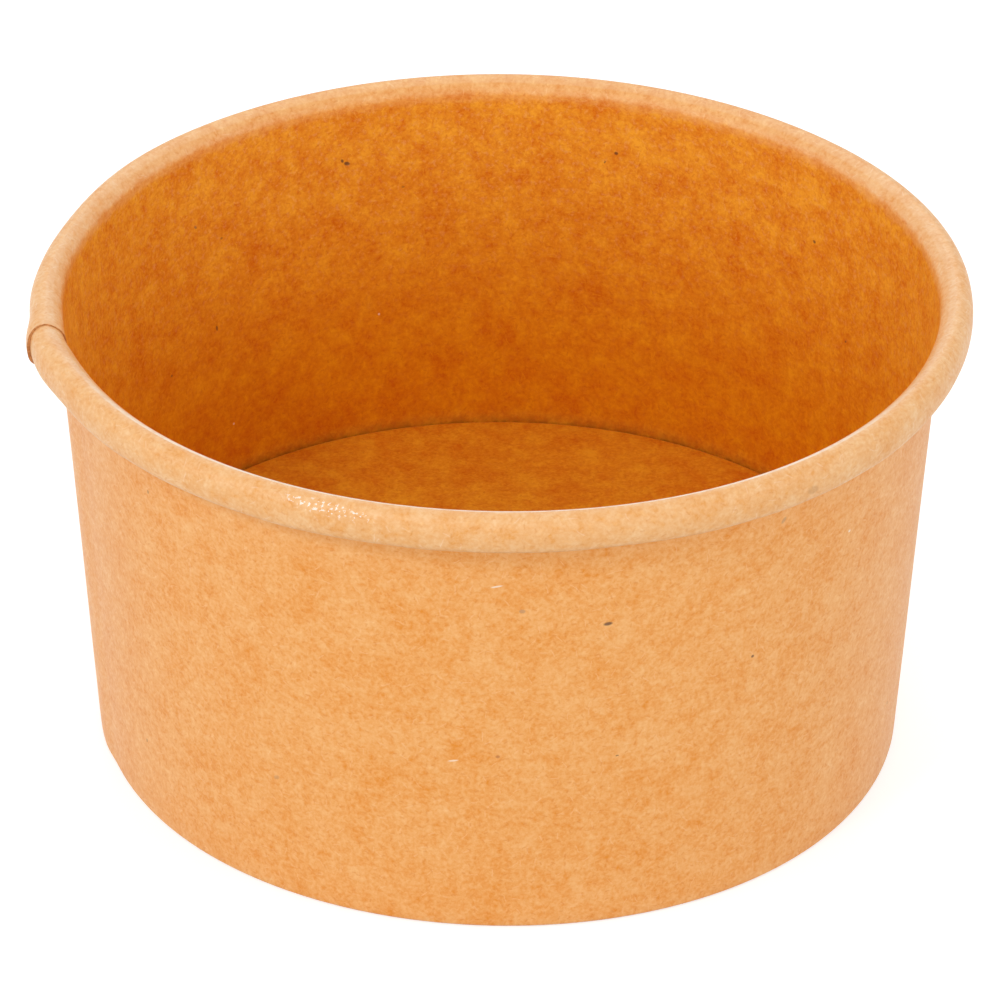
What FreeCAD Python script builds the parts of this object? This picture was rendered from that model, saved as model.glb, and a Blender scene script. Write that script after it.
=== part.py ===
"""Paper ice cream tub: a wrapped side wall with a rolled rim, and a base disc held in its folded foot.

The frame stands on the tub's axis at the bottom of the foot, with Z up and lengths in millimetres.
The wall is one sheet. Its section starts at the inner end of the foot hem, folds round at the foot,
climbs the leaning wall and rolls outwards into an oval rim. The blank's two ends overlap in one
upright side seam, where the section is two plies thick, and beside it the outer ply joggles back in.
The base is a second sheet: a flat disc whose edge is bent down into the slot of the hem.
"""

import FreeCAD, Part
import math
import os
import Sketcher
from FreeCAD import Placement, Rotation, Vector

SIZES = (
    ("rim_diameter", 96.0, "across the rolled rim"),
    ("tub_height", 51.0, "foot to the top of the rim"),
    ("foot_diameter", 84.0, "across the foot, outside"),
    ("paper_thickness", 0.35, "one ply of coated board"),
    ("curl_height", 4.1, "height of the rolled rim"),
    ("curl_bend", 0.4, "tightest bend inside the roll, round two plies"),
    ("curl_side_radius", 4.1, "crown of the roll's outer side"),
    ("curl_ease", 0.15, "added to the roll's upper bend, so that the end tucks in freely"),
    ("tuck_length", 0.8, "straight end tucked up inside the roll"),
    ("hem_length", 7.5, "inner leg of the foot hem"),
    ("glue_gap", 0.02, "on each face of the skirt in the hem's slot"),
    ("foot_press", 0.06, "how far the foot's fold is pressed flat"),
    ("floor_height", 10.5, "foot to the floor's upper face"),
    ("floor_bend", 0.9, "outer radius where the disc turns down"),
    ("skirt_lift", 0.9, "foot to the lower edge of the skirt"),
    ("seam_azimuth", 183.0, "where the outer ply ends, anticlockwise from +X"),
    ("lap_angle", 10.0, "the overlap, about 8 mm at the wall"),
    ("joggle_angle", 6.0, "where the outer ply comes back in line"),
)

# The roll's two bends leave room inside for the two plies of the overlap. The upper one is a ply
# larger, so that the tucked end clears the wall. Radii are those of the sheet's inner face.
BOTTOM_RADIUS = "(sizes.curl_bend + 2 * sizes.paper_thickness)"
TOP_RADIUS = "(sizes.curl_bend + 3 * sizes.paper_thickness + sizes.curl_ease)"
FOLD_RADIUS = "(sizes.paper_thickness / 2 + sizes.glue_gap)"
FOLD_X = f"sizes.foot_diameter / 2 - sizes.paper_thickness - {FOLD_RADIUS}"
FOLD_Z = f"{FOLD_RADIUS} + sizes.paper_thickness - sizes.foot_press"
TOP_Z = f"sizes.tub_height - {TOP_RADIUS}"
BOTTOM_Z = f"sizes.tub_height - sizes.curl_height + {BOTTOM_RADIUS}"
SIDE_X = "sizes.rim_diameter / 2 - sizes.curl_side_radius"


def make_sheet(doc):
    """The spreadsheet of driving dimensions, one alias for each."""
    sheet = doc.addObject("Spreadsheet::Sheet", "sizes")
    for row, (alias, value, meaning) in enumerate(SIZES, start=1):
        sheet.set(f"A{row}", meaning)
        sheet.set(f"B{row}", str(value))
        sheet.setAlias(f"B{row}", alias)
    doc.recompute()
    return sheet


class Rolls:
    """Centres and radii of the section's bends on the sheet's inner face, and the wall's lean."""

    def __init__(self, sheet):
        ply = sheet.paper_thickness
        self.fold_radius = ply / 2 + sheet.glue_gap
        self.top_radius = sheet.curl_bend + 3 * ply + sheet.curl_ease
        self.bottom_radius = sheet.curl_bend + 2 * ply
        self.side_radius = sheet.curl_side_radius
        fold_x = sheet.foot_diameter / 2 - ply - self.fold_radius
        self.fold = Vector(fold_x, self.fold_radius + ply - sheet.foot_press)
        top_z = sheet.tub_height - self.top_radius
        bottom_z = sheet.tub_height - sheet.curl_height + self.bottom_radius
        side_x = sheet.rim_diameter / 2 - self.side_radius
        self.side = Vector(side_x, (top_z + bottom_z) / 2)
        rise = top_z - self.side.y
        top_reach = math.sqrt((self.side_radius - self.top_radius) ** 2 - rise**2)
        bottom_reach = math.sqrt((self.side_radius - self.bottom_radius) ** 2 - rise**2)
        self.top = Vector(side_x + top_reach, top_z)
        self.bottom = Vector(side_x + bottom_reach, bottom_z)
        span = self.top - self.fold
        crossing = math.acos((self.fold_radius + self.top_radius) / span.Length)
        self.lean = crossing - math.atan2(span.y, span.x)
        self.across = Vector(math.cos(self.lean), -math.sin(self.lean))
        self.along = Vector(math.sin(self.lean), math.cos(self.lean))


def attach(body, sketch, role, turn=None):
    """Lays a sketch on one of its body's planes, turned about the tub's axis by an expression."""
    plane = [f for f in body.Origin.OriginFeatures if f.Role == role][0]
    sketch.AttachmentSupport = [(plane, "")]
    sketch.MapMode = "FlatFace"
    if turn:
        sketch.AttachmentOffset = Placement(Vector(), Rotation(Vector(0, 1, 0), 1))
        sketch.setExpression("AttachmentOffset.Rotation.Angle", turn)


def arc(centre, radius, start, end):
    """An anticlockwise arc between two angles in radians."""
    circle = Part.Circle(centre, Vector(0, 0, 1), radius)
    return Part.ArcOfCircle(circle, start, end)


def line(start, end):
    return Part.LineSegment(start, end)


def bearing(vector):
    return math.atan2(vector.y, vector.x)


def skin(rolls, sheet, offset):
    """The seven pieces of one face of the sheet, hem end to tucked end, at an offset from its inner face."""
    inward = rolls.fold - rolls.across * (rolls.fold_radius + offset)
    outward = rolls.fold + rolls.across * (rolls.fold_radius + offset)
    wall_top = rolls.top - rolls.across * (rolls.top_radius - offset)
    tuck_foot = rolls.bottom - rolls.across * (rolls.bottom_radius - offset)
    half_turn = math.pi - rolls.lean
    upper = bearing(rolls.top - rolls.side)
    lower = bearing(rolls.bottom - rolls.side)
    return [
        line(inward + rolls.along * sheet.hem_length, inward),
        arc(rolls.fold, rolls.fold_radius + offset, half_turn, 2 * math.pi - rolls.lean),
        line(outward, wall_top),
        arc(rolls.top, rolls.top_radius - offset, upper, half_turn),
        arc(rolls.side, rolls.side_radius - offset, lower, upper),
        arc(rolls.bottom, rolls.bottom_radius - offset, half_turn, 2 * math.pi + lower),
        line(tuck_foot, tuck_foot + rolls.along * sheet.tuck_length),
    ]


class Dimensions:
    """Adds constraints to a sketch and binds each size to the spreadsheet."""

    def __init__(self, sketch):
        self.sketch = sketch

    def relate(self, kind, *places):
        self.sketch.addConstraint(Sketcher.Constraint(kind, *places))

    def size(self, kind, places, expression):
        value = self.sketch.evalExpression(expression)
        value = getattr(value, "Value", value)
        index = self.sketch.addConstraint(Sketcher.Constraint(kind, *places, value))
        self.sketch.setExpression(f"Constraints[{index}]", expression)


START, END, CENTRE = 1, 2, 3
ORIGIN = (-1, START)
HEM, FOLD, WALL, TOP, SIDE, BOTTOM, TUCK = range(7)
SKIN_JOINTS = (
    (HEM, END, FOLD, START),
    (FOLD, END, WALL, START),
    (WALL, END, TOP, END),
    (TOP, START, SIDE, END),
    (SIDE, START, BOTTOM, END),
    (BOTTOM, START, TUCK, START),
)


def join_skin(dims, first):
    """Joins the pieces of one face smoothly, with its straight ends parallel to the wall."""
    for piece, end, following, following_end in SKIN_JOINTS:
        dims.relate("Tangent", first + piece, end, first + following, following_end)
    dims.relate("Parallel", first + HEM, first + WALL)
    dims.relate("Parallel", first + TUCK, first + WALL)


def size_skin(dims, first, depth):
    """Sizes one face of the sheet, which lies at a depth from the inner face."""
    dims.size("Radius", (first + FOLD,), f"{FOLD_RADIUS} + {depth}")
    dims.size("Radius", (first + TOP,), f"{TOP_RADIUS} - {depth}")
    dims.size("Radius", (first + SIDE,), f"sizes.curl_side_radius - {depth}")
    dims.size("Radius", (first + BOTTOM,), f"{BOTTOM_RADIUS} - {depth}")
    dims.size("DistanceX", (*ORIGIN, first + FOLD, CENTRE), FOLD_X)
    dims.size("DistanceY", (*ORIGIN, first + FOLD, CENTRE), FOLD_Z)
    dims.size("DistanceX", (*ORIGIN, first + SIDE, CENTRE), SIDE_X)
    dims.size("DistanceY", (*ORIGIN, first + SIDE, CENTRE), f"({TOP_Z} + {BOTTOM_Z}) / 2")
    dims.size("DistanceY", (*ORIGIN, first + TOP, CENTRE), TOP_Z)
    dims.size("DistanceY", (*ORIGIN, first + BOTTOM, CENTRE), BOTTOM_Z)
    dims.size("Distance", (first + HEM,), "sizes.hem_length")
    dims.size("Distance", (first + TUCK,), "sizes.tuck_length")


def wall_section(body, sheet, name, turn, first_ply, plies):
    """A closed section of the side wall: so many plies, starting so many plies out from the inner face."""
    ply = sheet.paper_thickness
    rolls = Rolls(sheet)
    inner = skin(rolls, sheet, first_ply * ply)
    outer = skin(rolls, sheet, (first_ply + plies) * ply)
    sketch = body.newObject("Sketcher::SketchObject", name)
    attach(body, sketch, "XZ_Plane", turn)
    sketch.addGeometry(inner + outer, False)
    far = len(inner)
    tuck_cap = 2 * far
    hem_cap = tuck_cap + 1
    sketch.addGeometry(line(inner[TUCK].EndPoint, outer[TUCK].EndPoint), False)
    sketch.addGeometry(line(inner[HEM].StartPoint, outer[HEM].StartPoint), False)

    dims = Dimensions(sketch)
    join_skin(dims, 0)
    size_skin(dims, 0, f"{first_ply} * sizes.paper_thickness")
    join_skin(dims, far)
    for bend in (FOLD, TOP, SIDE, BOTTOM):
        dims.relate("Coincident", bend, CENTRE, far + bend, CENTRE)
    far_ply = f"{first_ply + plies} * sizes.paper_thickness"
    dims.size("Radius", (far + FOLD,), f"{FOLD_RADIUS} + {far_ply}")
    dims.size("Radius", (far + TOP,), f"{TOP_RADIUS} - {far_ply}")
    for leg, end, cap in ((TUCK, END, tuck_cap), (HEM, START, hem_cap)):
        dims.relate("Coincident", leg, end, cap, START)
        dims.relate("Coincident", far + leg, end, cap, END)
        dims.relate("Perpendicular", leg, cap)
    return sketch


def turn_about_axis(body, sketch, name, angle):
    """Revolves a section about the tub's axis through an angle given as an expression."""
    feature = body.newObject("PartDesign::Revolution", name)
    feature.Profile = sketch
    feature.ReferenceAxis = (sketch, ["V_Axis"])
    feature.Angle = 360
    if angle:
        feature.setExpression("Angle", angle)
    return feature


def press_foot_flat(body, doc):
    """Cuts the foot's folds level with the surface that the tub stands on."""
    sketch = body.newObject("Sketcher::SketchObject", "foot_plane")
    attach(body, sketch, "XY_Plane")
    sketch.addGeometry(Part.Circle(Vector(), Vector(0, 0, 1), 1), False)
    dims = Dimensions(sketch)
    dims.relate("Coincident", 0, CENTRE, *ORIGIN)
    dims.size("Diameter", (0,), "sizes.rim_diameter")
    doc.recompute()
    before = body.Shape.Volume
    pocket = body.newObject("PartDesign::Pocket", "pressed_foot")
    pocket.Profile = sketch
    pocket.Type = "Length"
    pocket.setExpression("Length", "3 * sizes.paper_thickness")
    doc.recompute()
    if body.Shape.Volume >= before:
        raise RuntimeError("the foot was not pressed flat")


def make_side_wall(doc, sheet):
    body = doc.addObject("PartDesign::Body", "side_wall")
    body.Label = "side_wall"
    lap_end = "sizes.seam_azimuth + sizes.lap_angle"
    sheet_end = f"{lap_end} + sizes.joggle_angle"
    single = wall_section(body, sheet, "single_ply_section", sheet_end, 0, 1)
    round_sheet = "360 - sizes.lap_angle - sizes.joggle_angle"
    turn_about_axis(body, single, "single_ply_wall", round_sheet)
    double = wall_section(body, sheet, "lap_section", "sizes.seam_azimuth", 0, 2)
    turn_about_axis(body, double, "side_seam_lap", "sizes.lap_angle")
    outer = wall_section(body, sheet, "outer_ply_section", lap_end, 1, 1)
    joggle = body.newObject("PartDesign::AdditiveLoft", "joggle")
    joggle.Profile = outer
    joggle.Sections = [single]
    joggle.Ruled = True
    doc.recompute()
    press_foot_flat(body, doc)
    return body


def make_base_disc(doc, sheet):
    """The floor with its skirt, which runs down beside the wall into the slot of the hem."""
    body = doc.addObject("PartDesign::Body", "base_disc")
    body.Label = "base_disc"
    rolls = Rolls(sheet)
    ply = sheet.paper_thickness
    gap = sheet.glue_gap
    wall_foot = rolls.fold + rolls.across * rolls.fold_radius
    wall_top = rolls.top - rolls.across * rolls.top_radius

    def on_skirt(height, depth):
        """A point at a height, at a depth from the wall's inner face."""
        start = wall_foot - rolls.across * depth
        return start + rolls.along * ((height - start.y) / rolls.along.y)

    floor_z = sheet.floor_height
    bend = sheet.floor_bend
    bend_centre = on_skirt(floor_z - bend, gap + bend)
    corner_out = bend_centre + rolls.across * bend
    corner_in = bend_centre + rolls.across * (bend - ply)
    skirt_out = on_skirt(sheet.skirt_lift, gap)
    skirt_in = skirt_out - rolls.across * ply
    sketch = body.newObject("Sketcher::SketchObject", "disc_section")
    attach(body, sketch, "XZ_Plane")
    floor_top, bend_out, skirt_face, skirt_end, skirt_back, bend_in, floor_under, axis = range(8)
    quarter = math.pi / 2
    sketch.addGeometry(
        [
            line(Vector(0, floor_z), Vector(bend_centre.x, floor_z)),
            arc(bend_centre, bend, -rolls.lean, quarter),
            line(corner_out, skirt_out),
            line(skirt_out, skirt_in),
            line(skirt_in, corner_in),
            arc(bend_centre, bend - ply, -rolls.lean, quarter),
            line(Vector(bend_centre.x, floor_z - ply), Vector(0, floor_z - ply)),
            line(Vector(0, floor_z - ply), Vector(0, floor_z)),
        ],
        False,
    )
    face = 8
    wall_face = face + WALL
    sketch.addGeometry(skin(rolls, sheet, 0), True)

    dims = Dimensions(sketch)
    join_skin(dims, face)
    size_skin(dims, face, "0 * sizes.paper_thickness")
    dims.relate("Tangent", floor_top, END, bend_out, END)
    dims.relate("Tangent", bend_out, START, skirt_face, START)
    dims.relate("Coincident", skirt_face, END, skirt_end, START)
    dims.relate("Coincident", skirt_end, END, skirt_back, START)
    dims.relate("Tangent", skirt_back, END, bend_in, START)
    dims.relate("Tangent", bend_in, END, floor_under, START)
    dims.relate("Coincident", floor_under, END, axis, START)
    dims.relate("Coincident", axis, END, floor_top, START)
    dims.relate("PointOnObject", axis, START, -2)
    dims.relate("PointOnObject", axis, END, -2)
    dims.relate("Horizontal", floor_top)
    dims.relate("Horizontal", floor_under)
    dims.relate("Coincident", bend_out, CENTRE, bend_in, CENTRE)
    dims.relate("Parallel", skirt_face, wall_face)
    dims.relate("Parallel", skirt_back, wall_face)
    dims.relate("Perpendicular", skirt_end, wall_face)
    dims.size("DistanceY", (*ORIGIN, floor_top, START), "sizes.floor_height")
    dims.size("Radius", (bend_out,), "sizes.floor_bend")
    dims.size("Distance", (axis,), "sizes.paper_thickness")
    dims.size("Distance", (skirt_face, START, wall_face), "sizes.glue_gap")
    dims.size("DistanceY", (*ORIGIN, skirt_face, END), "sizes.skirt_lift")
    turn_about_axis(body, sketch, "turned_disc", None)
    doc.recompute()
    return body


def check(doc, bodies):
    """Stops with a plain message if any object failed or any sketch is loose."""
    for obj in doc.Objects:
        if "Invalid" in obj.State or "Error" in obj.State:
            raise RuntimeError(f"{obj.Label} did not compute: {obj.State}")
        if obj.TypeId == "Sketcher::SketchObject" and obj.solve() != 0:
            raise RuntimeError(f"the sketch {obj.Label} has no solution")
    for body in bodies:
        if body.Shape.isNull() or not body.Shape.isValid():
            raise RuntimeError(f"{body.Label} has no valid solid")


def export(bodies):
    os.makedirs("parts", exist_ok=True)
    for body in bodies:
        body.Shape.exportStep(f"parts/{body.Label}.step")
        box = body.Shape.BoundBox
        print(
            f"{body.Label}: {len(body.Shape.Solids)} solid, {body.Shape.Volume:.1f} mm3, "
            f"x {box.XMin:.2f} to {box.XMax:.2f}, y {box.YMin:.2f} to {box.YMax:.2f}, "
            f"z {box.ZMin:.2f} to {box.ZMax:.2f}"
        )


def main():
    doc = FreeCAD.newDocument("ice_cream_tub")
    sheet = make_sheet(doc)
    bodies = [make_side_wall(doc, sheet), make_base_disc(doc, sheet)]
    doc.recompute()
    check(doc, bodies)
    export(bodies)


main()
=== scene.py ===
"""Looks of the paper ice cream tub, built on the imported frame.

Two pieces replace the two solids of the frame: the wrapped side wall with its rolled rim and lapped
seam, and the base disc with its skirt. Each is one sheet of board, worked out as a grid of points.
Shapes are worked out in millimetres and go into the meshes in metres.
"""

import math

import bpy
import numpy as np
from mathutils import Euler, Matrix, Vector


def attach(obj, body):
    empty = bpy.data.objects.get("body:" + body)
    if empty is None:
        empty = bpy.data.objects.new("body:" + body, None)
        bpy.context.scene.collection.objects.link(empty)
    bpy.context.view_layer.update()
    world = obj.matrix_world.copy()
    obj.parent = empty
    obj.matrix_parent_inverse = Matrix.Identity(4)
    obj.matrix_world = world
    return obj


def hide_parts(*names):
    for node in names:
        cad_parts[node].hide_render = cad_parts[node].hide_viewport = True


MM = 0.001
PLY = 0.35
PRESSED_PLY = 0.14
RIM_RADIUS = 48.0
HEIGHT = 51.0
FOOT_RADIUS = 42.0
CURL_HEIGHT = 4.1
CURL_SIDE_RADIUS = 4.1
CURL_TOP_RADIUS = 1.6
CURL_FOOT_RADIUS = 1.1
TUCK_LENGTH = 0.8
HEM_LENGTH = 7.5
GLUE_GAP = 0.02
FOOT_PRESS = 0.06
FLOOR_HEIGHT = 10.5
FLOOR_BEND = 0.9
SKIRT_LIFT = 0.9
SEAM = 183.0
LAP = 10.0
JOGGLE = 6.0

HEM_POINTS = 6
FOLD_POINTS = 11
WALL_POINTS = (7, 7, 24)
WALL_START = HEM_POINTS + FOLD_POINTS - 2
WALL_END = WALL_START + sum(WALL_POINTS) - len(WALL_POINTS)
BELOW_FLOOR = 0.9
ABOVE_FLOOR = 0.6
FLOOR_POINTS = 40
SHEET_RADIUS = 45.0

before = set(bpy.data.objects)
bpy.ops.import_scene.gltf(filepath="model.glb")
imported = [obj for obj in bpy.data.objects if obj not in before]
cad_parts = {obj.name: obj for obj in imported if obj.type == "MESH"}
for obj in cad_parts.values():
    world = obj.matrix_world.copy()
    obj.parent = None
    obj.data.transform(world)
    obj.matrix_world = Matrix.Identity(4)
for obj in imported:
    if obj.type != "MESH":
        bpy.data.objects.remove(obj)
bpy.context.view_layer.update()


# The wall's section


class Section:
    """Centres, radii and lean of the side wall's section, on the sheet's inner face."""

    def __init__(self):
        self.fold_radius = PLY / 2 + GLUE_GAP
        self.fold = np.array([FOOT_RADIUS - PLY - self.fold_radius, self.fold_radius + PLY - FOOT_PRESS])
        top_z = HEIGHT - CURL_TOP_RADIUS
        foot_z = HEIGHT - CURL_HEIGHT + CURL_FOOT_RADIUS
        side_x = RIM_RADIUS - CURL_SIDE_RADIUS
        self.side = np.array([side_x, (top_z + foot_z) / 2])
        rise = top_z - self.side[1]
        top_out = math.sqrt((CURL_SIDE_RADIUS - CURL_TOP_RADIUS) ** 2 - rise**2)
        foot_out = math.sqrt((CURL_SIDE_RADIUS - CURL_FOOT_RADIUS) ** 2 - rise**2)
        self.top = np.array([side_x + top_out, top_z])
        self.foot = np.array([side_x + foot_out, foot_z])
        span = self.top - self.fold
        crossing = math.acos((self.fold_radius + CURL_TOP_RADIUS) / math.hypot(*span))
        self.lean = crossing - math.atan2(span[1], span[0])
        self.across = np.array([math.cos(self.lean), -math.sin(self.lean)])
        self.along = np.array([math.sin(self.lean), math.cos(self.lean)])


def straight(start, end, count):
    """Points at even steps from start to end, and the sheet's outer normal: right of the way it runs."""
    t = np.linspace(0, 1, count)[:, None]
    step = (end - start) / np.linalg.norm(end - start)
    return start + t * (end - start), np.tile([step[1], -step[0]], (count, 1))


def bend(centre, radius, start, end, count, outer):
    """Points on an arc about a centre, with the outer normal along the radius, out (1) or in (-1)."""
    a = np.linspace(start, end, count)
    ray = np.stack([np.cos(a), np.sin(a)], -1)
    return centre + radius * ray, outer * ray


def wall_section():
    """The sheet's inner face from the hem's end to the roll's tucked end: points, outer normals, length.

    The points from WALL_START to WALL_END lie on the wall, closer together beside the floor.
    """
    s = Section()
    hem_foot = s.fold - s.across * s.fold_radius
    wall_foot = s.fold + s.across * s.fold_radius
    wall_top = s.top - s.across * CURL_TOP_RADIUS
    tuck_foot = s.foot - s.across * CURL_FOOT_RADIUS
    half = math.pi - s.lean
    upper = math.atan2(*(s.top - s.side)[::-1])
    lower = math.atan2(*(s.foot - s.side)[::-1])
    under_floor = wall_foot + s.along * (FLOOR_HEIGHT - BELOW_FLOOR)
    over_floor = wall_foot + s.along * (FLOOR_HEIGHT + ABOVE_FLOOR)
    runs = [
        straight(hem_foot + s.along * HEM_LENGTH, hem_foot, HEM_POINTS),
        bend(s.fold, s.fold_radius, half, 2 * math.pi - s.lean, FOLD_POINTS, 1),
        straight(wall_foot, under_floor, WALL_POINTS[0]),
        straight(under_floor, over_floor, WALL_POINTS[1]),
        straight(over_floor, wall_top, WALL_POINTS[2]),
        bend(s.top, CURL_TOP_RADIUS, half, upper, 15, -1),
        bend(s.side, CURL_SIDE_RADIUS, upper, lower, 9, -1),
        bend(s.foot, CURL_FOOT_RADIUS, lower, half - 2 * math.pi, 15, -1),
        straight(tuck_foot, tuck_foot + s.along * TUCK_LENGTH, 3),
    ]
    points = np.concatenate([runs[0][0]] + [r[0][1:] for r in runs[1:]])
    normals = np.concatenate([runs[0][1]] + [r[1][1:] for r in runs[1:]])
    length = np.concatenate([[0], np.cumsum(np.linalg.norm(np.diff(points, axis=0), axis=1))])
    return points, normals, length


def smooth(x, low, high):
    """Rises from 0 to 1 between low and high with level ends."""
    t = np.clip((x - low) / (high - low), 0, 1)
    return t * t * (3 - 2 * t)


def from_seam(azimuth):
    """Degrees past the outer ply's end, from -180 to 180."""
    return (azimuth - SEAM + 180) % 360 - 180


def ripple(azimuth, terms):
    """A sum of cosines round the tub, each with an amplitude, a count of waves and a phase in degrees."""
    return sum(a * np.cos(np.radians(n * (azimuth - p))) for a, n, p in terms)


def dents(azimuth, terms):
    """A sum of bell-shaped bumps, each with a height, a middle and a width in degrees."""
    return sum(a * np.exp(-((((azimuth - m + 180) % 360 - 180) / w) ** 2)) for a, m, w in terms)


OVAL = ((0.05, 3, 75), (0.04, 5, 10))
WALL_WAVE = ((0.035, 7, 12), (0.03, 11, 50), (0.02, 17, 5))
RIM_WAVE = ((0.035, 6, 40), (0.03, 13, 8), (0.02, 23, 3), (0.012, 41, 2))
RIM_BUMPS = (
    (-0.55, 163, 13),
    (0.12, 182, 4),
    (0.27, 192, 3.5),
    (0.62, 195.5, 6),
    (0.05, 203, 6),
    (-0.2, 338, 16),
    (0.26, 24, 27),
    (0.22, 85, 36),
)
FOOT_WAVE = ((0.23, 1, 342), (0.1, 3, 300), (0.06, 4, 45))


def relax(azimuth, radius, z):
    """Where hand-sized unevenness takes a point, as a new radius and height.

    The free rim goes slightly out of round, the wall has shallow waves between foot and rim, the
    roll's lower edge dips and lifts, and the roll swells at the seam and lies flatter behind it. Its
    inner shoulder lies a quarter of a millimetre lower than its crown. The foot stands as far off the
    rim's middle, and is a little out of round too.
    """
    up = np.clip(z / HEIGHT, 0, 1)
    belly = np.sin(np.pi * np.clip((z - FLOOR_HEIGHT) / (HEIGHT - CURL_HEIGHT - FLOOR_HEIGHT), 0, 1))
    high = smooth(z, HEIGHT - 6, HEIGHT - 4.6)
    roll = high * smooth(radius, RIM_RADIUS - 3.2, RIM_RADIUS - 0.6)
    low_edge = high * (1 - smooth(z, HEIGHT - CURL_HEIGHT, HEIGHT - 1.6)) * smooth(radius, 45.2, 46.2)
    radial = up**1.5 * ripple(azimuth, OVAL) + belly * ripple(azimuth, WALL_WAVE)
    radial = radial + (0.3 * up**3 + 0.7 * roll) * dents(azimuth, RIM_BUMPS)
    radial = radial + (1 - up) * ripple(azimuth, FOOT_WAVE)
    shoulder = smooth(z, HEIGHT - 2.5, HEIGHT - 0.6)
    shoulder = shoulder * (1 - smooth(radius, RIM_RADIUS - 2.8, RIM_RADIUS - 1.3))
    return radius + radial, z + low_edge * ripple(azimuth, RIM_WAVE) - 0.26 * shoulder


def press_foot(azimuth, z):
    """Presses the foot level: the fold's lowest point goes to 0, and the lift fades out 1.6 mm up."""
    beside = from_seam(azimuth)
    doubled = smooth(beside, -8, 0) * (1 - smooth(beside, LAP, LAP + JOGGLE))
    lift = FOOT_PRESS + PLY * doubled
    return z + lift * (1 - smooth(z, -lift, 1.6))


# Meshes


def make_piece(name, points, quads, layers, kinds, materials, replaced):
    """A mesh piece from points in mm and quads, with point layers, and a material index for each quad."""
    mesh = bpy.data.meshes.new(name)
    mesh.vertices.add(len(points))
    mesh.vertices.foreach_set("co", (points * MM).astype(np.float32).ravel())
    mesh.loops.add(quads.size)
    mesh.loops.foreach_set("vertex_index", quads.astype(np.int32).ravel())
    mesh.polygons.add(len(quads))
    mesh.polygons.foreach_set("loop_start", np.arange(0, quads.size, 4, dtype=np.int32))
    mesh.update(calc_edges=True)
    for material in materials:
        mesh.materials.append(material)
    mesh.polygons.foreach_set("material_index", kinds.astype(np.int32))
    for label, values in layers.items():
        kind = "FLOAT_VECTOR" if values.ndim == 2 else "FLOAT"
        layer = mesh.attributes.new(label, kind, "POINT")
        layer.data.foreach_set("vector" if values.ndim == 2 else "value", values.astype(np.float32).ravel())
    mesh.validate()
    mesh.shade_smooth()
    mesh.set_sharp_from_angle(angle=math.radians(38))
    piece = bpy.data.objects.new(name, mesh)
    bpy.context.scene.collection.objects.link(piece)
    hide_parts(replaced)
    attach(piece, "root")
    return piece


def grid_quads(rows, columns):
    """Quads of a grid whose points are numbered row by row."""
    i = np.arange(rows - 1)[:, None] * columns
    j = np.arange(columns - 1)[None, :]
    a = i + j
    return np.stack([a, a + columns, a + columns + 1, a + 1], -1).reshape(-1, 4)


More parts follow.
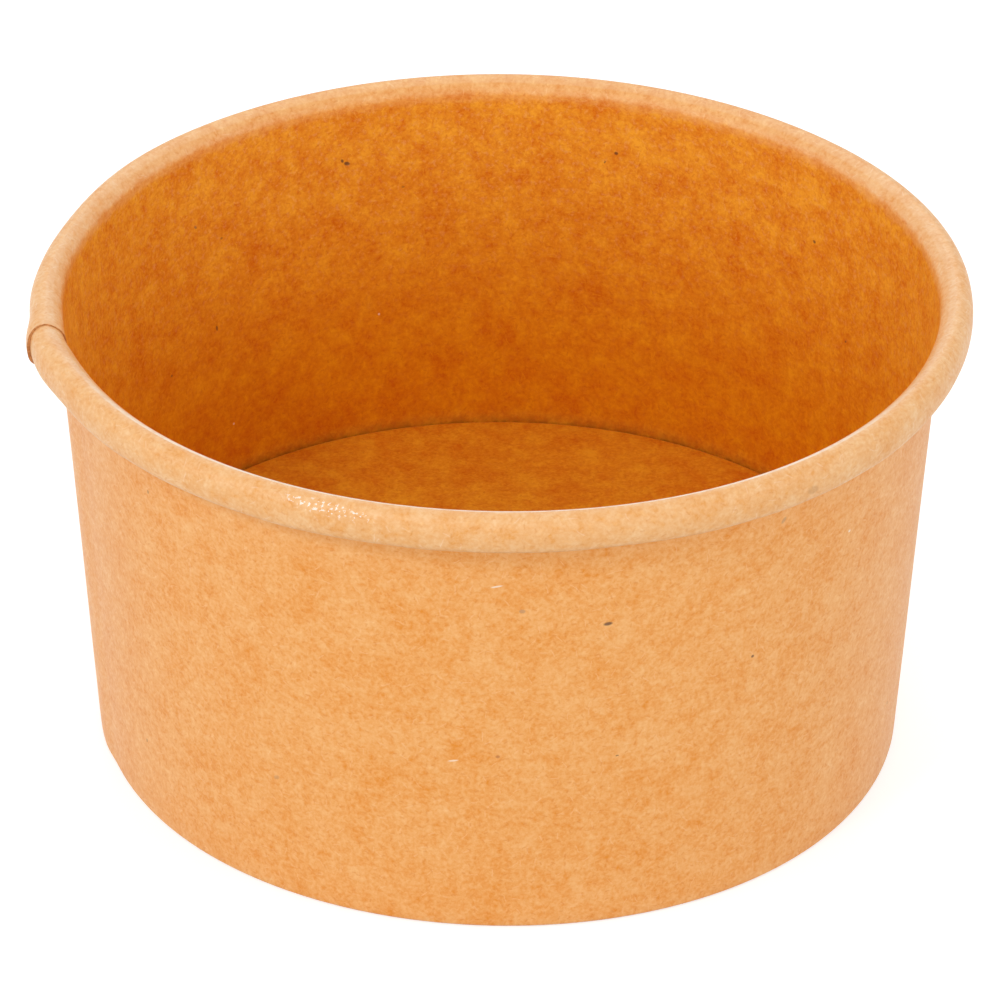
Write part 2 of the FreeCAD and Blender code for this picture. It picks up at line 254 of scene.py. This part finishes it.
def make_side_wall(materials):
    """One sheet wrapped from the outer ply's end at the seam round to the inner ply's end under the lap.

    A point is the section carried round the axis. Both faces lie along the section's normal, one ply
    apart. The outer ply's first 10 degrees lie one ply further out and ease back over the joggle. On
    the roll the seam is pressed thinner, and on its outer side the inner ply's end swells again and
    stands a little proud.
    """
    path, normal, length = wall_section()
    curl = WALL_END
    fine = np.linspace(SEAM, SEAM + LAP + JOGGLE, 24)
    main = np.linspace(SEAM + LAP + JOGGLE, SEAM + 360 + LAP, 392)[1:]
    turn = np.concatenate([fine, main])
    pressed = PLY - (PLY - PRESSED_PLY) * smooth(length, length[curl] - 1.5, length[curl] + 1.0)
    outer_ply = 1 - smooth(turn, SEAM + LAP, SEAM + LAP + JOGGLE)
    inner_ply = smooth(turn, turn[-1] - LAP - 3, turn[-1] - LAP)
    step_out = outer_ply[:, None] * (pressed + 0.01)[None, :]
    thickness = PLY - inner_ply[:, None] * (PLY - pressed)[None, :]
    rows, columns = len(turn), len(path)
    side = smooth(length, *length[[curl + 5, curl + 17]])
    swell = 0.2 * smooth(turn, turn[-1] - 8, turn[-1])[:, None] * side[None, :]
    bent_over = smooth(length, *length[[curl + 1, curl + 8]])
    skew = smooth(turn, turn[-1] - LAP, turn[-1])[:, None] * (side - 0.7 * bent_over)[None, :]
    faces = []
    for depth in (-swell, thickness):
        offset = step_out + depth
        radius = path[None, :, 0] + offset * normal[None, :, 0]
        z = path[None, :, 1] + offset * normal[None, :, 1]
        azimuth = turn[:, None] + skew
        z = press_foot(azimuth, z)
        radius, z = relax(azimuth, radius, z)
        a = np.radians(azimuth)
        faces.append(np.stack([radius * np.cos(a), radius * np.sin(a), z], -1).reshape(-1, 3))
    count = rows * columns
    inner = grid_quads(rows, columns)
    outer = inner[:, ::-1] + count
    i = np.arange(rows - 1) * columns
    hem = np.stack([i, i + count, i + columns + count, i + columns], -1)
    last = i + columns - 1
    tuck = np.stack([last, last + columns, last + columns + count, last + count], -1)
    j = np.arange(columns - 1)
    start = np.stack([j, j + 1, j + 1 + count, j + count], -1)
    far = j + (rows - 1) * columns
    end = np.stack([far, far + count, far + 1 + count, far + 1], -1)
    edges = np.concatenate([hem, tuck, start, end])
    quads = np.concatenate([inner, outer, edges])
    kinds = np.concatenate([np.zeros(len(inner)), np.ones(len(outer)), np.full(len(edges), 2)])
    flat = np.stack(
        [
            np.broadcast_to((np.radians(turn) * SHEET_RADIUS)[:, None], (rows, columns)),
            np.broadcast_to(length[None, :], (rows, columns)),
            np.zeros((rows, columns)),
        ],
        -1,
    ).reshape(-1, 3)
    # Painted shade in the corner round the floor, on the inner face only: fading in from 1.2 mm above the
    # floor, full 0.6 mm below it.
    above = path[:, 1] - FLOOR_HEIGHT
    low = 0.4 * smooth(-above, -1.2, 0) + 0.6 * smooth(-above, 0, 0.6)
    low = low * (np.arange(columns) > WALL_START + 1)
    crease_shade = np.broadcast_to(low[None, :], (rows, columns)).ravel()
    layers = {
        "sheet": np.concatenate([flat, flat + [0, 0, 40]]),
        "crease_shade": np.concatenate([crease_shade, np.zeros(rows * columns)]),
    }
    points = np.concatenate(faces)
    return make_piece("side_wall_board", points, quads, layers, kinds, materials, "side_wall")


def disc_section():
    """The base disc's section, from the middle of the floor out and down the skirt: points and normals."""
    s = Section()
    wall_foot = s.fold + s.across * s.fold_radius

    def on_skirt(height, depth):
        start = wall_foot - s.across * depth
        return start + s.along * (height - start[1]) / s.along[1]

    centre = on_skirt(FLOOR_HEIGHT - FLOOR_BEND, GLUE_GAP + FLOOR_BEND)
    corner = centre + s.across * FLOOR_BEND
    runs = [
        straight(np.array([0.4, FLOOR_HEIGHT]), np.array([centre[0], FLOOR_HEIGHT]), FLOOR_POINTS),
        bend(centre, FLOOR_BEND, math.pi / 2, -s.lean, 9, -1),
        straight(corner, on_skirt(SKIRT_LIFT, GLUE_GAP), 8),
    ]
    points = np.concatenate([runs[0][0]] + [r[0][1:] for r in runs[1:]])
    normals = np.concatenate([runs[0][1]] + [r[1][1:] for r in runs[1:]])
    length = points[0, 0] + np.concatenate([[0], np.cumsum(np.linalg.norm(np.diff(points, axis=0), axis=1))])
    return points, normals, length


def make_base_disc(materials):
    """A flat disc with its edge bent down. The section is carried once round, and the small hole left
    at the middle of each face is closed by a fan of quads to its centre."""
    path, normal, length = disc_section()
    floor_end = length[FLOOR_POINTS - 1]
    rows, columns = 241, len(path)
    turn = np.linspace(0, 360, rows)[:-1]
    rows -= 1
    a = np.radians(turn)[:, None]
    faces = []
    for depth in (0.0, PLY):
        radius = path[None, :, 0] + depth * normal[None, :, 0]
        z = path[None, :, 1] + depth * normal[None, :, 1]
        azimuth, radius, z = np.broadcast_arrays(turn[:, None], radius, z)
        radius, z = relax(azimuth, radius, z)
        inside = 1 - smooth(radius, 20, 40)
        x, y = radius * np.cos(a), radius * np.sin(a)
        sag = inside * 0.22 + (1 - (radius / 42) ** 2) * 0.06 * np.sin(x / 9 + 0.6) * np.cos(y / 11)
        faces.append(np.stack([x, y, z - sag * (radius < 41)], -1).reshape(-1, 3))
    count = rows * columns
    i = np.arange(rows)[:, None] * columns
    i_next = (np.arange(rows)[:, None] + 1) % rows * columns
    j = np.arange(columns - 1)[None, :]
    upper = np.stack([i + j, i + j + 1, i_next + j + 1, i_next + j], -1).reshape(-1, 4)
    under = upper[:, ::-1] + count
    last = i[:, 0] + columns - 1
    last_next = i_next[:, 0] + columns - 1
    edge = np.stack([last, last + count, last_next + count, last_next], -1)
    middle = [face.reshape(rows, columns, 3)[:, 0].mean(0) for face in faces]
    k = np.arange(0, rows, 2)
    a0, a1, a2 = i[k, 0], i_next[k, 0], i_next[(k + 1) % rows, 0]
    cap = np.stack([np.full(len(k), 2 * count), a0, a1, a2], -1)
    under_cap = np.stack([np.full(len(k), 2 * count + 1), a2 + count, a1 + count, a0 + count], -1)
    quads = np.concatenate([upper, under, edge, cap, under_cap])
    counts = [len(upper), len(under), len(edge), len(cap), len(under_cap)]
    kinds = np.repeat([0, 1, 2, 0, 1], counts)
    flat_x, flat_y = length[None, :] * np.cos(a), length[None, :] * np.sin(a)
    flat = np.stack([flat_x, flat_y, np.full((rows, columns), 90.0)], -1).reshape(-1, 3)
    flat = np.concatenate([flat, flat + [0, 0, 40], [[0, 0, 90]], [[0, 0, 130]]])
    # Painted shade in the corner: on the disc's upper face where it bends down beside the wall.
    bent = smooth(length, floor_end + 0.1, floor_end + 0.8)
    crease_shade = np.broadcast_to(bent[None, :], (rows, columns)).ravel()
    layers = {"sheet": flat, "crease_shade": np.concatenate([crease_shade, np.zeros(count + 2)])}
    points = np.concatenate(faces + [np.array(middle)])
    return make_piece("base_disc_board", points, quads, layers, kinds, materials, "base_disc")


# Materials


class Nodes:
    """Short calls for building one material's node tree."""

    def __init__(self, name):
        self.material = bpy.data.materials.new(name)
        self.material.use_nodes = True
        self.tree = self.material.node_tree
        self.shader = self.tree.nodes["Principled BSDF"]

    def add(self, kind, **settings):
        node = self.tree.nodes.new(kind)
        for key, value in settings.items():
            setattr(node, key, value)
        return node

    def feed(self, socket, value):
        if isinstance(value, bpy.types.NodeSocket):
            self.tree.links.new(value, socket)
        else:
            socket.default_value = value

    def math(self, operation, a, b=0.0):
        node = self.add("ShaderNodeMath", operation=operation)
        for socket, value in zip(node.inputs, (a, b)):
            self.feed(socket, value)
        return node.outputs[0]

    def vector(self, operation, a, b=(0, 0, 0)):
        node = self.add("ShaderNodeVectorMath", operation=operation)
        self.feed(node.inputs[0], a)
        self.feed(node.inputs[1], b)
        return node.outputs["Value" if operation == "LENGTH" else "Vector"]

    def fit(self, value, low, high, to_low=0.0, to_high=1.0, kind="SMOOTHSTEP"):
        """Carries low..high to to_low..to_high."""
        node = self.add("ShaderNodeMapRange", interpolation_type=kind)
        for socket, number in zip(node.inputs, (value, low, high, to_low, to_high)):
            self.feed(socket, number)
        return node.outputs[0]

    def noise(self, coords, scale, detail=2.0, roughness=0.55, distortion=0.0):
        node = self.add("ShaderNodeTexNoise")
        self.feed(node.inputs["Vector"], coords)
        node.inputs["Scale"].default_value = scale
        node.inputs["Detail"].default_value = detail
        node.inputs["Roughness"].default_value = roughness
        node.inputs["Distortion"].default_value = distortion
        return node.outputs["Factor" if "Factor" in node.outputs else "Fac"]

    def mix(self, factor, a, b):
        node = self.add("ShaderNodeMix", data_type="RGBA")
        self.feed(node.inputs["Factor"], factor)
        self.feed(node.inputs["A"], (*a, 1) if isinstance(a, tuple) else a)
        self.feed(node.inputs["B"], (*b, 1) if isinstance(b, tuple) else b)
        return node.outputs["Result"]

    def attribute(self, name, output):
        return self.add("ShaderNodeAttribute", attribute_name=name).outputs[output]


def fibres(n, coords, cell, length, width, keep, shift):
    """Mask of short straight fibres, at most one for each cell of a Voronoi pattern, each at its own
    angle. In a cell's own turned frame the mask is 1 where both distances are under the half sizes."""
    moved = n.vector("ADD", coords, (shift, shift * 0.7, 0))
    wander = n.add("ShaderNodeTexNoise")
    n.feed(wander.inputs["Vector"], moved)
    wander.inputs["Scale"].default_value = 1.1 / length
    sway = n.vector("MULTIPLY", wander.outputs["Color"], (length * 0.5, length * 0.5, 0))
    bent = n.vector("ADD", moved, sway)
    flat = n.vector("MULTIPLY", bent, (1, 1, 0))
    cells = n.add("ShaderNodeTexVoronoi", voronoi_dimensions="2D")
    n.feed(cells.inputs["Vector"], flat)
    cells.inputs["Scale"].default_value = 1 / cell
    split = n.add("ShaderNodeSeparateColor")
    n.feed(split.inputs[0], cells.outputs["Color"])
    local = n.vector("SUBTRACT", flat, n.vector("MULTIPLY", cells.outputs["Position"], (1, 1, 0)))
    angle = n.math("MULTIPLY", split.outputs[0], 2 * math.pi)
    turned = n.add("ShaderNodeVectorRotate", rotation_type="Z_AXIS")
    n.feed(turned.inputs["Vector"], local)
    n.feed(turned.inputs["Angle"], angle)
    parts = n.add("ShaderNodeSeparateXYZ")
    n.feed(parts.inputs[0], turned.outputs[0])
    along = n.fit(n.math("ABSOLUTE", parts.outputs[0]), length * 0.35, length * 0.55, 1, 0)
    across = n.fit(n.math("ABSOLUTE", parts.outputs[1]), width * 0.2, width * 0.6, 1, 0)
    kept = n.math("LESS_THAN", split.outputs[1], keep)
    return n.math("MULTIPLY", n.math("MULTIPLY", along, across), kept)


def round_sheet(degrees):
    """How far along the flat sheet an angle round the tub reaches."""
    return math.radians(degrees) * SHEET_RADIUS


def on_wall(azimuth, height, outside):
    """Where a place on the wall lies on the flat sheet, in the sheet attribute's own numbers."""
    points, _, length = wall_section()
    wall = slice(WALL_START, WALL_END + 1)
    turn = azimuth + 360 if azimuth < SEAM + LAP else azimuth
    along = np.interp(height, points[wall, 1], length[wall])
    return round_sheet(turn), float(along), 40.0 if outside else 0.0


def rim_place(azimuth, part):
    """A place on the roll, at a part of the way from its start to its tucked end."""
    _, _, length = wall_section()
    x, _, z = on_wall(azimuth, 20, False)
    return x, float(length[WALL_END] + part * (length[-1] - length[WALL_END])), z


def mark(n, sheet, place, length, width, angle):
    """Mask of one oval mark: 1 near the place, in a frame turned by an angle and scaled to its size."""
    local = n.vector("SUBTRACT", sheet, place)
    turned = n.add("ShaderNodeVectorRotate", rotation_type="Z_AXIS")
    n.feed(turned.inputs["Vector"], local)
    turned.inputs["Angle"].default_value = -math.radians(angle)
    distance = n.vector("LENGTH", n.vector("MULTIPLY", turned.outputs[0], (2 / length, 2 / width, 1)))
    return n.fit(distance, 0.55, 1.15, 1, 0)


def board(n, sheet, light, dark, weights, marks):
    """Kraft board's colour: blotches a few mm wide over a grain of about half a mm, paler and darker
    fibres, a few dark specks of bark and the marks that this tub has. Also gives the grain."""
    blotch = n.noise(sheet, 0.22, 3.0, 0.6)
    cloud = n.noise(sheet, 0.75, 3.0, 0.62, 0.3)
    grain = n.noise(sheet, 2.3, 3.0, 0.62, 0.4)
    tone = n.math("ADD", n.math("MULTIPLY", blotch, weights[0]), n.math("MULTIPLY", cloud, weights[1]))
    tone = n.math("ADD", tone, n.math("MULTIPLY", grain, weights[2]))
    middle = sum(weights) / 2
    colour = n.mix(n.fit(tone, middle - 0.15, middle + 0.15, kind="LINEAR"), light, dark)
    pale = n.vector("MULTIPLY", light, (1.05, 1.22, 1.7))
    deep = n.vector("MULTIPLY", dark, (0.9, 0.78, 0.62))
    colour = n.mix(n.math("MULTIPLY", fibres(n, sheet, 1.5, 0.9, 0.13, 0.35, 3.1), 0.3), colour, pale)
    colour = n.mix(n.math("MULTIPLY", fibres(n, sheet, 1.0, 0.5, 0.2, 0.4, 17.9), 0.35), colour, deep)
    colour = n.mix(n.math("MULTIPLY", fibres(n, sheet, 6.5, 1.2, 0.11, 0.3, 41.0), 0.35), colour, pale)
    speck = fibres(n, sheet, 11.0, 0.36, 0.2, 0.05, 133.0)
    colour = n.mix(n.math("MULTIPLY", speck, 0.7), colour, (0.16, 0.07, 0.02))
    for place, length, width, angle, strength, shade in marks:
        oval = mark(n, sheet, place, length, width, angle)
        colour = n.mix(n.math("MULTIPLY", oval, strength), colour, shade)
    return colour, grain


def finish_board(n, sheet, colour, grain, roughness, depth):
    """Feeds colour, gloss and bump: the grain, and a finer tooth, both raise the surface a little."""
    shader = n.shader
    n.feed(shader.inputs["Base Color"], colour)
    n.feed(shader.inputs["Roughness"], n.fit(grain, 0.3, 0.7, roughness - 0.06, roughness + 0.06))
    tooth = n.noise(sheet, 5.5, 2.0, 0.6)
    bump = n.add("ShaderNodeBump")
    bump.inputs["Distance"].default_value = depth * MM
    n.feed(bump.inputs["Height"], n.math("ADD", grain, n.math("MULTIPLY", tooth, 0.4)))
    n.feed(shader.inputs["Normal"], bump.outputs[0])


BARK = (0.10, 0.045, 0.02)
GREY = (0.42, 0.27, 0.16)
WHITE = (0.95, 0.85, 0.7)
# Painted shade: the tones low on the wall and on the floor, darker than the board higher up.
PAINTED_SHADE_LIGHT = (0.83, 0.345, 0.003)
PAINTED_SHADE_DARK = (0.64, 0.15, 0.0)
INSIDE_LIGHT = (0.92, 0.43, 0.03)
INSIDE_DARK = (0.67, 0.16, 0.0)
MILKY = (0.95, 0.56, 0.22)
# The roll's tones: paler than the inside, partly the stretched coating and partly painted light.
RIM_LIGHT = (0.875, 0.545, 0.27)
RIM_DARK = (0.765, 0.325, 0.07)
# Painted shade in the corner round the floor.
CREASE_SHADE = (0.46, 0.15, 0.007)
# Painted reflection: the pale line along the front lip.
PAINTED_LIP_REFLECTION = (1.0, 0.86, 0.70)
# Painted glints on the front of the roll.
PAINTED_GLINT = (1.0, 0.95, 0.88)


def make_coated():
    """The coated face: orange-brown with milky spots, and hardly shiny inside the tub. Low on the wall, and
    a
    little on the floor, it is darker: painted shade. Over the rim's roll it is paler, in two steps and
    less so at the back, partly from the stretched coating and partly painted light, with a satin gloss
    and a patch of painted glints. Along the front lip a pale line is a painted reflection. The corner
    round the floor is darker with painted shade."""
    n = Nodes("coated_kraft")
    sheet = n.attribute("sheet", "Vector")
    split = n.add("ShaderNodeSeparateXYZ")
    n.feed(split.inputs[0], sheet)
    round_way, past = split.outputs[0], n.math("SUBTRACT", split.outputs[1], rim_place(0, 0)[1])
    on_lip = n.math("MULTIPLY", n.fit(past, 1.5, 1.75), n.fit(past, 2.25, 2.55, 1, 0))
    uneven = n.math("MULTIPLY", n.math("SUBTRACT", n.noise(sheet, 0.7, 3.0, 0.6), 0.5), 1.6)
    past = n.math("ADD", past, uneven)
    # Over the roll the board turns paler, partly the stretched coating and partly painted light; less so at
    # the back.
    rolled = n.math("ADD", n.fit(past, -1.0, -0.1, 0, 0.42), n.fit(past, -0.05, 0.85, 0, 0.58))
    from_back = n.math("ABSOLUTE", n.math("SUBTRACT", round_way, round_sheet(90 + 360)))
    rolled = n.math("MULTIPLY", rolled, n.fit(from_back, round_sheet(25), round_sheet(75), 0.68, 1))
    # Painted reflection along the lip: a pale line on the front side of the tub, broken up by noise further
    # down.
    from_seam_side = n.fit(round_way, round_sheet(SEAM + 15), round_sheet(SEAM + 48))
    to_far_side = n.fit(round_way, round_sheet(SEAM + 122), round_sheet(SEAM + 155), 0.9, 0)
    lip_reflection = n.math("MULTIPLY", from_seam_side, to_far_side)
    lip_reflection = n.math("MULTIPLY", on_lip, n.math("ADD", lip_reflection, 0.1))
    marks = (
        (on_wall(112.5, 43.0, False), 0.8, 0.5, 20, 0.85, BARK),
        (on_wall(113.2, 43.4, False), 0.5, 0.35, 60, 0.8, BARK),
        (on_wall(73.9, 43.6, False), 0.5, 0.4, 0, 0.8, BARK),
        (on_wall(40.8, 40.3, False), 0.5, 0.4, 0, 0.75, BARK),
        (on_wall(135.5, 28.3, False), 0.7, 0.35, 80, 0.7, BARK),
        (on_wall(138.2, 41.1, False), 0.5, 0.3, 40, 0.7, BARK),
        (on_wall(133.5, 38.5, False), 0.4, 0.3, 0, 0.5, BARK),
        (on_wall(145.4, 25.6, False), 0.4, 0.3, 0, 0.6, BARK),
        (on_wall(104.3, 39.3, False), 0.4, 0.3, 0, 0.4, BARK),
        (on_wall(61.4, 39.4, False), 1.8, 1.1, 30, 0.35, INSIDE_DARK),
        (on_wall(133.5, 16.1, False), 0.3, 0.3, 0, 0.6, WHITE),
        (on_wall(108.3, 24.4, False), 0.3, 0.3, 0, 0.5, WHITE),
        (rim_place(309, 0.55), 1.5, 1.0, 10, 0.45, (0.5, 0.22, 0.06)),
    )
    place = n.add("ShaderNodeSeparateXYZ")
    n.feed(place.inputs[0], n.add("ShaderNodeTexCoord").outputs["Object"])
    # Painted shade by height in the tub: full just above the floor up to 15 mm, gone by 47 mm; the floor
    # gets a little over half of it.
    wall_height = n.fit(place.outputs[2], 15 * MM, 47 * MM)
    height = n.math("MAXIMUM", wall_height, n.fit(place.outputs[2], 10.8 * MM, 12 * MM, 0.45, 0))
    light = n.mix(rolled, n.mix(height, PAINTED_SHADE_LIGHT, INSIDE_LIGHT), RIM_LIGHT)
    dark = n.mix(rolled, n.mix(height, PAINTED_SHADE_DARK, INSIDE_DARK), RIM_DARK)
    colour, grain = board(n, sheet, light, dark, (0.38, 0.42, 0.40), marks)
    # Painted shade in the corner round the floor, made uneven by noise.
    crease_shade_breakup = n.fit(n.noise(sheet, 0.8, 3.0), 0.35, 0.65, 0.2, 1.0)
    colour = n.mix(n.math("MULTIPLY", n.attribute("crease_shade", "Fac"), crease_shade_breakup), colour, CREASE_SHADE)
    spots = n.fit(n.noise(sheet, 1.5, 3.0, 0.65), 0.5, 0.7)
    milk = n.math("MULTIPLY", spots, n.fit(wall_height, 0, 1, 0.03, 0.27))
    colour = n.mix(milk, colour, MILKY)
    broken_reflection = n.fit(n.noise(sheet, 1.1, 3.0), 0.3, 0.6, 0.6, 1.0)
    colour = n.mix(n.math("MULTIPLY", lip_reflection, broken_reflection), colour, PAINTED_LIP_REFLECTION)
    # Painted glints: sparse white dots in one patch on the front-left of the roll, where the key lamp's
    # highlight lies.
    glint_patch = mark(n, sheet, rim_place(249.6, 0.38), 10, 1.6, 4)
    glint_dots = n.fit(n.noise(sheet, 2.9, 2.0, 0.6), 0.56, 0.63)
    colour = n.mix(n.math("MULTIPLY", n.math("MULTIPLY", glint_patch, glint_dots), 0.75), colour, PAINTED_GLINT)
    finish_board(n, sheet, colour, grain, 0.52, 0.02)
    n.shader.inputs["Specular IOR Level"].default_value = 0.3
    n.feed(n.shader.inputs["Coat Weight"], n.math("MULTIPLY", rolled, 0.45))
    n.shader.inputs["Coat Roughness"].default_value = 0.42
    n.shader.inputs["Coat IOR"].default_value = 1.5
    return n.material


def make_outside():
    """The bare outer face: tan, matt, with a little sheen from its fibres."""
    n = Nodes("plain_kraft")
    sheet = n.attribute("sheet", "Vector")
    marks = (
        (on_wall(283.8, 36.6, True), 1.0, 0.45, 5, 0.85, BARK),
        (on_wall(272.9, 38.7, True), 0.7, 0.5, 0, 0.55, GREY),
        (on_wall(304.7, 28.7, True), 0.4, 0.35, 0, 0.8, BARK),
        (on_wall(308.1, 43.8, True), 0.9, 0.5, 50, 0.45, GREY),
        (on_wall(270.0, 21.3, True), 0.5, 0.4, 0, 0.6, (0.45, 0.13, 0.04)),
        (on_wall(269.7, 41.6, True), 1.3, 0.22, 12, 0.7, WHITE),
        (on_wall(264.2, 20.6, True), 1.2, 0.22, 10, 0.65, WHITE),
        (on_wall(321.0, 38.3, True), 0.4, 0.35, 0, 0.7, WHITE),
        (on_wall(239.0, 14.3, True), 0.8, 0.5, 30, 0.35, GREY),
    )
    colour, grain = board(n, sheet, (0.91, 0.495, 0.185), (0.785, 0.262, 0.014), (0.26, 0.36, 0.42), marks)
    finish_board(n, sheet, colour, grain, 0.5, 0.03)
    n.shader.inputs["Sheen Weight"].default_value = 0.12
    n.shader.inputs["Sheen Roughness"].default_value = 0.4
    return n.material


def make_cut_edge():
    """The raw cut edge: darker pulp in layers."""
    n = Nodes("cut_edge")
    place = n.add("ShaderNodeTexCoord").outputs["Object"]
    layers = n.noise(place, 3000, 3.0, 0.6)
    colour = n.mix(n.fit(layers, 0.3, 0.7), (0.62, 0.27, 0.09), (0.4, 0.15, 0.04))
    n.feed(n.shader.inputs["Base Color"], colour)
    n.shader.inputs["Roughness"].default_value = 0.85
    return n.material


boards = [make_coated(), make_outside(), make_cut_edge()]
make_side_wall(boards)
make_base_disc(boards)


# Studio


def make_floor():
    """A wide pale table that shows white to the camera and takes the tub's shadow."""
    n = Nodes("white_table")
    n.shader.inputs["Base Color"].default_value = (0.62, 0.62, 0.62, 1)
    n.shader.inputs["Roughness"].default_value = 0.9
    n.shader.inputs["Specular IOR Level"].default_value = 0.0
    rays = n.add("ShaderNodeLightPath")
    seen = n.math("MAXIMUM", rays.outputs["Is Camera Ray"], rays.outputs["Is Glossy Ray"])
    seen = n.math("MAXIMUM", seen, rays.outputs["Is Transmission Ray"])
    n.shader.inputs["Emission Color"].default_value = (1, 1, 1, 1)
    n.feed(n.shader.inputs["Emission Strength"], n.math("MULTIPLY", seen, 0.59))
    size = 4.0
    mesh = bpy.data.meshes.new("table")
    corners = [(-size, -size, 0), (size, -size, 0), (size, size, 0), (-size, size, 0)]
    mesh.from_pydata(corners, [], [(0, 1, 2, 3)])
    mesh.transform(Matrix.Translation((0, 0, -0.00002)))
    mesh.materials.append(n.material)
    table = bpy.data.objects.new("table", mesh)
    bpy.context.scene.collection.objects.link(table)


def make_world():
    """Soft even light from all round; the camera and reflections see plain white."""
    world = bpy.data.worlds.new("studio")
    world.use_nodes = True
    bpy.context.scene.world = world
    nodes, links = world.node_tree.nodes, world.node_tree.links
    sky = nodes["Background"]
    sky.inputs["Color"].default_value = (1, 1, 1, 1)
    sky.inputs["Strength"].default_value = 0.68
    white = nodes.new("ShaderNodeBackground")
    white.inputs["Color"].default_value = (1, 1, 1, 1)
    white.inputs["Strength"].default_value = 1.0
    rays = nodes.new("ShaderNodeLightPath")
    either = nodes.new("ShaderNodeMath")
    either.operation = "MAXIMUM"
    links.new(rays.outputs["Is Camera Ray"], either.inputs[0])
    links.new(rays.outputs["Is Glossy Ray"], either.inputs[1])
    third = nodes.new("ShaderNodeMath")
    third.operation = "MAXIMUM"
    links.new(either.outputs[0], third.inputs[0])
    links.new(rays.outputs["Is Transmission Ray"], third.inputs[1])
    pick = nodes.new("ShaderNodeMixShader")
    links.new(third.outputs[0], pick.inputs[0])
    links.new(sky.outputs[0], pick.inputs[1])
    links.new(white.outputs[0], pick.inputs[2])
    links.new(pick.outputs[0], nodes["World Output"].inputs["Surface"])


def make_lamp(name, place, size, watts, mirrored=True):
    """A square soft lamp aimed at the tub. One that isn't mirrored gives no highlight."""
    light = bpy.data.lights.new(name, "AREA")
    light.size = size
    light.energy = watts
    lamp = bpy.data.objects.new(name, light)
    lamp.visible_glossy = mirrored
    away = Vector(place) - Vector((0, 0, 0.03))
    lamp.matrix_world = Matrix.Translation(place) @ away.to_track_quat("Z", "Y").to_matrix().to_4x4()
    bpy.context.scene.collection.objects.link(lamp)


def make_camera():
    """The photograph's view: 0.592 m from the middle of the rim, 28.5 degrees above it, aimed 2.2 degrees
    under it and turned by half a degree."""
    height, distance, aim = math.radians(28.458), 0.5923, math.radians(28.458 + 2.172)
    data = bpy.data.cameras.new("camera")
    data.lens = 209.15
    data.sensor_width = 36
    camera = bpy.data.objects.new("camera", data)
    place = Vector((0, -math.cos(height) * distance, math.sin(height) * distance + HEIGHT * MM))
    turn = Euler((math.pi / 2 - aim, 0, 0)).to_matrix().to_4x4() @ Matrix.Rotation(0.00864, 4, "Z")
    camera.matrix_world = Matrix.Translation(place) @ turn
    bpy.context.scene.collection.objects.link(camera)
    bpy.context.scene.camera = camera


make_camera()
make_floor()
make_world()
make_lamp("key", (-0.9, -1.1, 1.3), 0.3, 4.9)
make_lamp("left", (-1.5, -0.5, 0.6), 1.0, 4.9)
make_lamp("right", (1.5, -0.5, 0.6), 1.0, 4.5)
make_lamp("back", (0, 1.3, 1.2), 1.0, 5.1)
make_lamp("front", (0.1, -1.6, 0.42), 1.2, 7.2, mirrored=False)
bpy.context.scene.view_settings.view_transform = "Standard"
